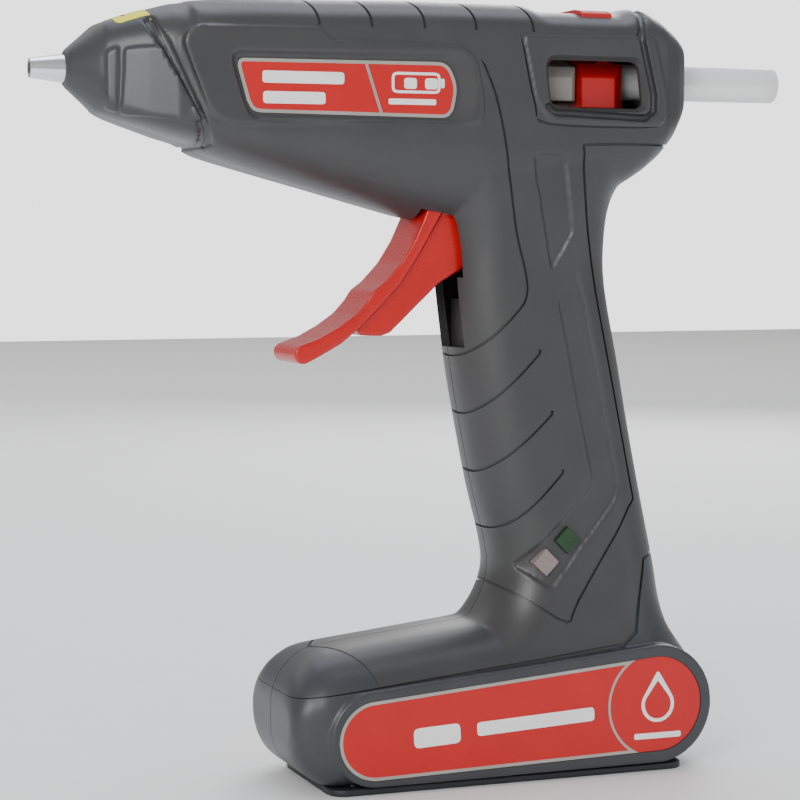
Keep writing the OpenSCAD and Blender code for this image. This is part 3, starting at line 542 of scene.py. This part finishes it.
# Seam screws go in from the right: x, z; the base plate's go in from below: x, y
screws = {
    "seam": [(-84, 229.4), (-34, 230.2), (4, 229.4), (-62, 188.6), (26, 150), (4, 106), (36.5, 104), (39.5, 56)],
    "plate": [(x, y) for x in (-50, 50) for y in (-18.5, 18.5)], "head": 2.8, "seamLevel": 12.95}

# Flat facets on the nose's sides: x, z
noseFacets = [
    [(-122.4, 203), (-119.8, 202), (-119.4, 220.4), (-122.4, 219.2)],
    [(-118.4, 201.4), (-96.6, 199.6), (-107.8, 220.8), (-117.4, 220)]]

# -- broad shapes, before the edges are softened --
carve(skin, panelTool(), "UNION")
carve(skin, recessTool())
carve(skin, pair("window block", rounded(grown(window["block"], -0.5), 2.6), 12, shell["side"], draft=-0.6), "UNION")
carve(skin, pair("foot pad", stadium(pad["ends"]), 18, pad["out"] - 0.5), "UNION")
carve(skin, pair("foot pad edge", stadium(pad["ends"], -0.05), pad["out"] - 0.5, pad["out"], draft=-0.5), "UNION")


def clearOfCore(tools):
    return carve(unite(tools), core, keep=True)


# Sunken areas keep the body's curve: they go down to a smaller body, raised ones up to a larger
def sunken(outline, depth):
    return carve(prism("sunken area", outline, -40, 40), gunForm("limit", -depth))


def raised(outline, height):
    tool = carve(prism("raised area", outline, -40, 40), gunForm("limit", height), "INTERSECT")
    return carve(tool, prism("middle", [(-200, 150), (-60, 150), (-60, 260), (-200, 260)], -8, 8))


noseBand = ribbon([(-110.6, 229), (-106.4, 221), (-96.6, 199), (-93.5, 192)], 3.2)
for tool in (sunken(rounded(grip["blade"], 1.6), 0.9), sunken(rounded(grip["strip"], 1.6), 0.8),
        sunken(noseBand, 1.3), sunken(ribbon(window["collar"], 2.1), 1.4), sunken(ribbon(window["frontLine"], 0.9), 1)):
    carve(skin, tool)
for facet in noseFacets:
    carve(skin, raised(rounded(facet, 0.8), 0.7), "UNION")
collarTop = smoothed([(41.9, -25), (44.9, -14), (46.4, 0), (44.9, 14), (41.9, 25)])
carve(skin, carve(prism("collar top", ribbon(collarTop, 2.1), 227, 245, "Z"), gunForm("limit", -1.4)))

# Deck pocket for the power button
button = {"x": 29.8, "length": 10, "width": 35, "gap": 0.3}
softened(skin, shell["skinVoxel"], 2, 0.4)
print("skin softened", len(skin.data.polygons))

# -- fine grooves --
tools = [prism("front groove", ribbon(smoothed(grip["front"]), grip["width"]), -40, 40)]
tools += [prism("slanted groove", ribbon(smoothed(line), grip["width"]), -40, 40) for line in grip["slants"]]
tools.append(prism("rear panel groove", ribbon(smoothed(grip["rearPanel"], 3), 0.8), -40, 40))
tools.append(prism("block groove", ribbon(smoothed(window["block"][:4], 4), 0.6), -40, 40))
for crest in ribs["crest"]:
    half = ribs["sweep"]
    line = smoothed([(crest + half, -25), (crest + half * 0.35, -14), (crest, 0), (crest + half * 0.35, 14), (crest + half, 25)])
    tools.append(prism("rib groove", ribbon(line, ribs["width"]), ribs["low"], 245, "Z"))
carve(skin, clearOfCore(tools))

tools = [prism("parting groove", ribbon(parting["side"], 1.3), -40, 40),
    prism("saddle front groove", ribbon([(-42.5, -28), (-58, 0), (-42.5, 28)], 1), 30, 50, "Z")]
carve(skin, clearOfCore(tools))
middle = prism("middle seam", [(-300, 0), (300, 0), (300, 300), (-300, 300)], -shell["seam"] / 2, shell["seam"] / 2)
carve(skin, clearOfCore([middle]))
print("grooves cut", len(skin.data.polygons))

# -- openings --
tool = prism("window", rounded(window["opening"], 3), -40, 40)
carve(skin, tool)
rim = rounded(grown(window["opening"], 0.1), 3)
carve(skin, pair("window rim", rim, shell["side"] - 1.6, shell["side"] + 0.6, draft=1.6))
cavity = gunForm("cavity", -shell["wall"], 1.6)
carve(skin, cavity)
carve(skin, prism("nozzle hole", circle(0, stickAxis, 4.35), -140, -120, "X"))
carve(skin, prism("stick hole", circle(0, stickAxis, 8.6), 50, 70, "X"))
slots = {"lever": ([(-25.5, 154), (-9, 154), (-9, 177), (-25.5, 177)], 11.6),
    "web": ([(-25.5, 146), (-2, 146), (-2, 177), (-25.5, 177)], 9.6),
    "pocket": ([(-24, 132.5), (-6.6, 132.5), (-6.6, 147), (-24, 147)], 9.6),
    "pocketFloor": ([(-6.6, 131), (-4.2, 131), (-4.2, 147), (-6.6, 147)], 11.6)}
for name, (outline, reach) in slots.items():
    carve(skin, prism(name, outline, -reach, reach), "UNION" if name == "pocketFloor" else "DIFFERENCE")
across = button["length"] / 2 + button["gap"]
wide = button["width"] / 2 + button["gap"]
slot = [(button["x"] - across, -wide), (button["x"] + across, -wide), (button["x"] + across, wide), (button["x"] - across, wide)]
carve(skin, prism("button slot", rounded(slot, 1), 227, 240, "Z"))
tools = [prism("light hole", circle(*lights[name], lights["side"] / math.sqrt(2) + 0.1, 4), -24, -10)
    for name in ("green", "red")]
tools += [prism("screw hole", circle(*place, screws["head"] + 0.25, 32), screws["seamLevel"], 40) for place in screws["seam"]]
tools.append(prism("socket hole", circle(0, 19, 5), 56, 70, "X"))
tools.append(pair("foot label recess", stadium(pad["label"], 0.15), pad["out"] - pad["labelDepth"], 40))
for tool in tools:
    carve(skin, tool)
print("openings cut")

# -- separate shells --
big = 300
slanted = [(-300, -100), (-89, 180), (-93.6, 192.4), (-106.8, 222), (-112, 236), (-112, 400), (-300, 400)]
noseShroud = carve(copyOf(skin, "noseShroud"), prism("nose side", slanted, -big, big), "INTERSECT")
carve(skin, prism("nose side", grown(slanted, 0.12), -big, big))
aboveZone = prism("above", [(-big, 90), (big, 90), (big, 2 * big), (-big, 2 * big)], -big, big)
sideZone = prism("side zone", parting["side"] + [(90, 91), (-90, 91)], -big, big)
planZone = prism("plan zone", [(-58, 0), (-42.5, -28), (90, -28), (90, 28), (-42.5, 28)], 20, 95, "Z")
zone = unite([aboveZone, carve(sideZone, planZone, "INTERSECT")])
housing = carve(copyOf(skin, "housing"), zone, "INTERSECT", keep=True)
foot = carve(skin, zone)


def half(piece, name, side):
    box = [(-big, -big), (big, -big), (big, 2 * big), (-big, 2 * big)]
    return carve(copyOf(piece, name), prism("half", box, side * 0.03, side * 100), "INTERSECT")


leftHousing = half(housing, "leftHousing", -1)
rightHousing = half(housing, "rightHousing", 1)
leftFoot = half(foot, "leftFootShell", -1)
rightFoot = half(foot, "rightFootShell", 1)
for piece in (housing, foot, core):
    bpy.data.objects.remove(piece)
noseBlank = copyOf(noseShroud, "noseBlank")
finished(leftHousing, "root", ["left_housing"], housingAbs)
finished(rightHousing, "root", ["right_housing"], housingAbs)
finished(noseShroud, "root", ["nose_shroud"], noseNylon)
finished(leftFoot, "root", ["left_foot_shell"], footAbs)
finished(rightFoot, "root", ["right_foot_shell"], footAbs)
print("shells parted")


# ---- labels ----

# A film with a silver rim and white printing; heights are above the recess floor
label = {"film": 0.35, "rim": 0.05, "ink": 0.07, "rimWidth": 1}


def moved(outline, x, z, lean=0):
    turn = math.radians(lean)
    return [(x + px * math.cos(turn) - pz * math.sin(turn), z + px * math.sin(turn) + pz * math.cos(turn))
        for px, pz in outline]


def bar(x, z, length, height, lean=0):
    box = [(-length / 2, -height / 2), (length / 2, -height / 2), (length / 2, height / 2), (-length / 2, height / 2)]
    return moved(rounded(box, height * 0.28, 3), x, z, lean)


def layer(name, outline, side, inner, outer):
    return prism(name, outline, side * inner, side * outer)


def ringOf(name, outline, width, side, inner, outer):
    piece = layer(name, outline, side, inner, outer)
    return carve(piece, layer("hole", grown(outline, -width), side, inner - 1, outer + 1))


barrelLabel = {
    "outline": [(-86.8, 217.9), (-82.4, 202.3), (-19.8, 201.6), (-17.9, 211.1), (-21.1, 218.1)],
    "divider": [(-47.5, 219), (-41.6, 201)],
    "bars": [(-66.2, 212.6, 25, 3.5), (-69, 206.7, 19, 3.5), (-32.4, 206.2, 15, 1.7), (-33, 211.6, 4, 3.2), (-26.4, 211.6, 4, 3.2)],
    "battery": (-31.2, 211.8, 15.4, 6.2)}


def buildBarrelLabel(side, name, node):
    base = shell["side"] - panel["depth"]
    top = base + label["film"]
    outline = rounded(barrelLabel["outline"], 3.4)
    film = layer(name, grown(outline, -0.2), side, base - 0.2, top)
    rim = ringOf(name + "Rim", outline, label["rimWidth"], side, base - 0.2, top + label["rim"])
    divider = layer("divider", ribbon(barrelLabel["divider"], 0.9), side, base - 0.2, top + label["rim"])
    carve(divider, layer("limit", outline, side, base - 1, top + 1), "INTERSECT")
    carve(rim, divider, "UNION")
    battery = bar(*barrelLabel["battery"])
    ink = ringOf(name + "Print", battery, 0.8, side, top - 0.1, top + label["ink"])
    marks = [bar(*size) for size in barrelLabel["bars"]]
    marks.append(bar(barrelLabel["battery"][0] + 8.4, barrelLabel["battery"][1], 1.2, 2.8))
    for mark in marks:
        carve(ink, layer("mark", mark, side, top - 0.1, top + label["ink"]), "UNION")
    finished(film, "root", [node], labelFilm)
    finished(rim, "root", [], silverInk)
    finished(ink, "root", [], whiteInk)


footLabel = {"lean": 3, "circle": 16.6,
    "bars": [(-26, 16.9, 15, 6), (6.4, 18.9, 39, 4.2)], "drop": [(47.6, 31, 0.6), (47.6, 21.4, 5.6)], "dropHole": [(47.6, 28.4, 0.3), (47.6, 21.4, 4.5)],
    "caption": (47.6, 11.6, 16, 1.8)}


def buildFootLabel(side, name, node):
    base = pad["out"] - pad["labelDepth"]
    top = base + label["film"] + 0.25
    outline = stadium(pad["label"])
    x, z = pad["label"][1][:2]
    film = layer(name, outline, side, base - 0.2, top)
    rim = ringOf(name + "Rim", outline, label["rimWidth"], side, base - 0.2, top + label["rim"])
    carve(rim, layer("circle", circle(x, z, footLabel["circle"]), side, base - 1, top + 1))
    arc = ringOf("arc", circle(x, z, footLabel["circle"] + 0.4, 96), 0.8, side, base - 0.2, top + label["rim"])
    carve(arc, layer("limit", outline, side, base - 1, top + 1), "INTERSECT")
    carve(arc, layer("front", [(x - 30, 0), (x - 6, 0), (x - 6, 50), (x - 30, 50)], side, base - 1, top + 1), "INTERSECT")
    carve(rim, arc, "UNION")
    ink = layer(name + "Print", stadium(footLabel["drop"]), side, top - 0.1, top + label["ink"])
    carve(ink, layer("hole", stadium(footLabel["dropHole"]), side, top - 1, top + 1))
    for mark in [bar(*size, footLabel["lean"]) for size in footLabel["bars"]] + [bar(*footLabel["caption"])]:
        carve(ink, layer("mark", mark, side, top - 0.1, top + label["ink"]), "UNION")
    finished(film, "root", [node], labelFilm)
    finished(rim, "root", [], silverInk)
    finished(ink, "root", [], whiteInk)


for side, word in ((-1, "left"), (1, "right")):
    buildBarrelLabel(side, word + "BarrelLabel", word + "_barrel_label")
    buildFootLabel(side, word + "FootLabel", word + "_foot_label")

# The yellow patch follows the nose: it is cut from a slightly swollen copy of the shroud
patch = {"outline": [(-119, -10.6), (-106, -14.2), (-106, 14.2), (-119, 10.6)], "stand": 0.2}


def cutFromNose(name, outline, stand, material):
    piece = copyOf(noseBlank, name)
    modify(piece, "DISPLACE", strength=stand, mid_level=0)
    carve(piece, prism("patch zone", outline, 216, 245, "Z"), "INTERSECT")
    return finished(piece, "root", ["nose_label"], material)


cutFromNose("noseLabel", rounded(patch["outline"], 2), patch["stand"], yellowFilm)
cutFromNose("noseLabelPrint", rounded([(-116.8, -8), (-115.4, -8), (-115.4, 8), (-116.8, 8)], 0.5), patch["stand"] + 0.06, blackInk)
cutFromNose("noseLabelSign", rounded([(-112.9, -3.4), (-108.4, 0), (-112.9, 3.4)], 0.5), patch["stand"] + 0.06, blackInk)
bpy.data.objects.remove(noseBlank)
print("labels ready")


# ---- pieces made from copies of the CAD shapes, with eased edges ----

def easedCopy(name, body, nodes, material, voxel, rounds, cuts=(), angle=50):
    copies = []
    for node in nodes:
        piece = copyOf(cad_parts[node], name)
        piece.parent = None
        piece.hide_render = False
        for vertex in piece.data.vertices:
            vertex.co = vertex.co * metre
        pick(piece)
        bpy.ops.object.mode_set(mode="EDIT")
        bpy.ops.mesh.select_all(action="SELECT")
        bpy.ops.mesh.remove_doubles(threshold=0.002)
        bpy.ops.object.mode_set(mode="OBJECT")
        copies.append(piece)
    piece = unite(copies)
    for tool in cuts:
        carve(piece, tool)
    softened(piece, voxel, rounds)
    return finished(piece, body, nodes, material, angle)


# Chamfers along the top and the rear edges of the two blocks that show in the window
def chamfers(start, end, edge, top, slope, rear):
    tools = []
    for side in (-1, 1):
        above = [(side * (edge + 1), top - 1.2), (side * (edge + 1), top + 12), (side * (edge - slope), top + 12), (side * (edge - slope), top + 5)]
        tools.append(loft("top chamfer", [[at("X", start, point) for point in above], [at("X", end, point) for point in above]]))
        if rear:
            behind = [(end - rear, side * edge), (end + 2, side * (edge - rear - 1)), (end + 2, side * (edge + 4)), (end - rear, side * (edge + 4))]
            tools.append(prism("rear chamfer", behind, 190, 240, "Z"))
    return tools


easedCopy("trigger", "trigger", ["trigger"], redAbs, 0.4, 14)
easedCopy("feedCarriage", "carriage", ["feed_carriage"], redAbs, 0.3, 3,
    chamfers(26, 41.9, 13.5, 215.4, 4.5, 4))
easedCopy("clampSleeve", "carriage", ["clamp_sleeve"], sleeveNylon, 0.3, 3,
    chamfers(2, 25.9, 11.5, 214.4, 2, 1.6))
easedCopy("powerButton", "button", ["power_button"], redAbs, 0.2, 4)
easedCopy("basePlate", "root", ["base_plate"], plateAbs, 0.45, 2)
easedCopy("stickGuide", "root", ["stick_guide"], blackNylon, 0.35, 2)
easedCopy("chargingSocket", "root", ["charging_socket"], blackNylon, 0.2, 2)
easedCopy("greenLens", "root", ["green_lens"], greenAcrylic, 0.12, 3)
easedCopy("redLens", "root", ["red_lens"], redAcrylic, 0.12, 3)

stick = {"front": -58, "rear": 100, "radius": 5.6, "ease": 0.5}


def buildStick():
    front, rear, radius, ease = (stick[key] for key in ("front", "rear", "radius", "ease"))
    profile = [(front, radius - 2.2), (front + 0.9, radius - 0.5), (front + 2.4, radius)]
    profile += [(front + (rear - front) * k / 8, radius) for k in range(1, 8)]
    profile += [(rear - ease, radius), (rear - ease * 0.4, radius - ease * 0.2), (rear - 0.02, radius - ease), (rear, radius - 1.4)]
    return finished(turned("glueStick", profile), "stick", ["glue_stick"], glueEva)


buildStick()
print("plastic pieces ready")


# ---- screws ----

# A pan head with a cross recess on a plain shank, modelled once and copied
screwSize = {"shank": 1.45, "length": 18, "head": 2.8, "height": 2, "slot": 0.9, "reach": 1.9, "depth": 1.3}


def buildScrew(name, size):
    high = size["height"]
    profile = [(-size["length"], size["shank"] * 0.6), (-size["length"] + 1.2, size["shank"]), (-0.01, size["shank"]),
        (0, size["head"] - 0.1), (0.15, size["head"]), (high * 0.5, size["head"] * 0.98),
        (high * 0.85, size["head"] * 0.8), (high, size["head"] * 0.45)]
    rings = [[(r * math.cos(math.pi * k / 16), r * math.sin(math.pi * k / 16), z) for k in range(32)] for z, r in profile]
    piece = loft(name, rings)
    for long, wide in ((size["reach"], size["slot"] / 2), (size["slot"] / 2, size["reach"])):
        box = [(-long, -wide), (long, -wide), (long, wide), (-long, wide)]
        point = [(x * 0.45, y * 0.45) for x, y in box]
        tool = loft("cross", [[(x, y, high - size["depth"]) for x, y in point], [(x, y, high + 0.2) for x, y in box]])
        carve(piece, tool)
    return piece


def placeScrews(name, blank, places, turn, nodes):
    copies = []
    for place in places:
        piece = copyOf(blank, name)
        for vertex in piece.data.vertices:
            vertex.co = Vector(turn(vertex.co)) + Vector(place)
        copies.append(piece)
    bpy.data.objects.remove(blank)
    for i, piece in enumerate(copies):
        pick(piece)
        bpy.ops.object.mode_set(mode="EDIT")
        bpy.ops.mesh.select_all(action="SELECT")
        bpy.ops.mesh.normals_make_consistent(inside=False)
        bpy.ops.object.mode_set(mode="OBJECT")
        piece.name = name + str(i + 1)
        finished(piece, "root", nodes, zincSteel, 30)


placeScrews("seamScrew", buildScrew("screw", screwSize), [(x, 13, z) for x, z in screws["seam"]],
    lambda v: (v.x, v.z, v.y), ["housing_screws"])
plateScrew = dict(screwSize, length=11, height=0.85, depth=0.7)
placeScrews("plateScrew", buildScrew("screw", plateScrew), [(x, y, 0.95) for x, y in screws["plate"]],
    lambda v: (v.x, v.y, -v.z), ["foot_screws"])
print("screws ready")


# ---- other CAD nodes keep their shape and get their finish ----

nodeFinish = {
    "button_switch": blackNylon, "cell_holder": blackNylon, "trigger_pin": zincSteel, "stick_clamp": zincSteel, "clamp_pin": zincSteel,
    "return_spring": zincSteel, "button_spring": zincSteel, "check_spring": zincSteel, "check_ball": zincSteel,
    "heater_clip": zincSteel, "cell_straps": zincSteel,
    "melt_chamber": castAluminium, "valve_seat": turnedBrass, "nozzle": turnedAluminium,
    "inlet_sleeve": silicone, "front_ring": phenolic, "rear_ring": phenolic, "heater": steatite,
    "thermal_cutout": steatite, "left_cell": cellWrap, "right_cell": cellWrap, "control_board": boardResin,
    "status_board": boardResin, "battery_leads": wireVinyl, "heater_leads": wireVinyl}
for name, material in nodeFinish.items():
    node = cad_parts[name]
    node.data.materials.clear()
    node.data.materials.append(material)


# ---- studio ----

studio = {"camera": (-0.28268, -0.68117, 0.16715), "target": (-0.028, 0, 0.1163), "lens": 106.65, "sensor": 36}


def lookAt(item, place, target):
    item.location = place
    item.rotation_euler = (Vector(target) - Vector(place)).to_track_quat("-Z", "Y").to_euler()


cameraData = bpy.data.cameras.new("camera")
cameraData.lens = studio["lens"]
cameraData.sensor_width = studio["sensor"]
cameraData.clip_start = 0.01
camera = bpy.data.objects.new("camera", cameraData)
bpy.context.scene.collection.objects.link(camera)
lookAt(camera, studio["camera"], studio["target"])
bpy.context.scene.camera = camera


def addLamp(name, place, target, size, power, tint="#ffffff"):
    lamp = bpy.data.lights.new(name, "AREA")
    lamp.shape = "RECTANGLE"
    lamp.size, lamp.size_y = size
    lamp.energy = power
    lamp.color = colour(tint)[:3]
    holder = bpy.data.objects.new(name, lamp)
    bpy.context.scene.collection.objects.link(holder)
    lookAt(holder, place, target)


addLamp("key", (-0.62, -0.72, 0.44), (-0.06, 0, 0.19), (0.4, 0.4), 6.5)
addLamp("fill", (0.9, -1.0, 0.35), (0, 0, 0.12), (0.8, 1.0), 2, "#f4f7ff")
addLamp("top", (0.1, 0.2, 1.3), (0, 0, 0.1), (1.0, 0.8), 9, "#e6eeff")
addLamp("rim", (0.7, 1.1, 0.7), (0, 0, 0.15), (0.7, 0.7), 8)
addLamp("sweep", (0, 1.9, 1.6), (0, 1.9, 0), (4, 2), 25)

bpy.ops.object.select_all(action="DESELECT")
bpy.ops.mesh.primitive_plane_add(size=6, location=(0, 0, 0))
floor = bpy.context.object
floor.name = "floor"
floorPaint = mouldedPlastic("matt paper, pale", "#f4f4f3", "#f6f6f5", 6, 0.05, 0.9, 0.03)
floor.data.materials.append(floorPaint)
world = bpy.data.worlds.new("studio air")
world.use_nodes = True
air = world.node_tree.nodes["Background"]
air.inputs["Color"].default_value = colour("#fbfbfb")
# The air looks brighter than it lights, like a lit white sweep behind the object
sight = addNode(world.node_tree, "ShaderNodeLightPath")
strength = addNode(world.node_tree, "ShaderNodeMapRange", {"To Min": 0.5, "To Max": 2.4},
    {"Value": sight.outputs["Is Camera Ray"]})
world.node_tree.links.new(strength.outputs["Result"], air.inputs["Strength"])
bpy.context.scene.world = world
print("studio ready")
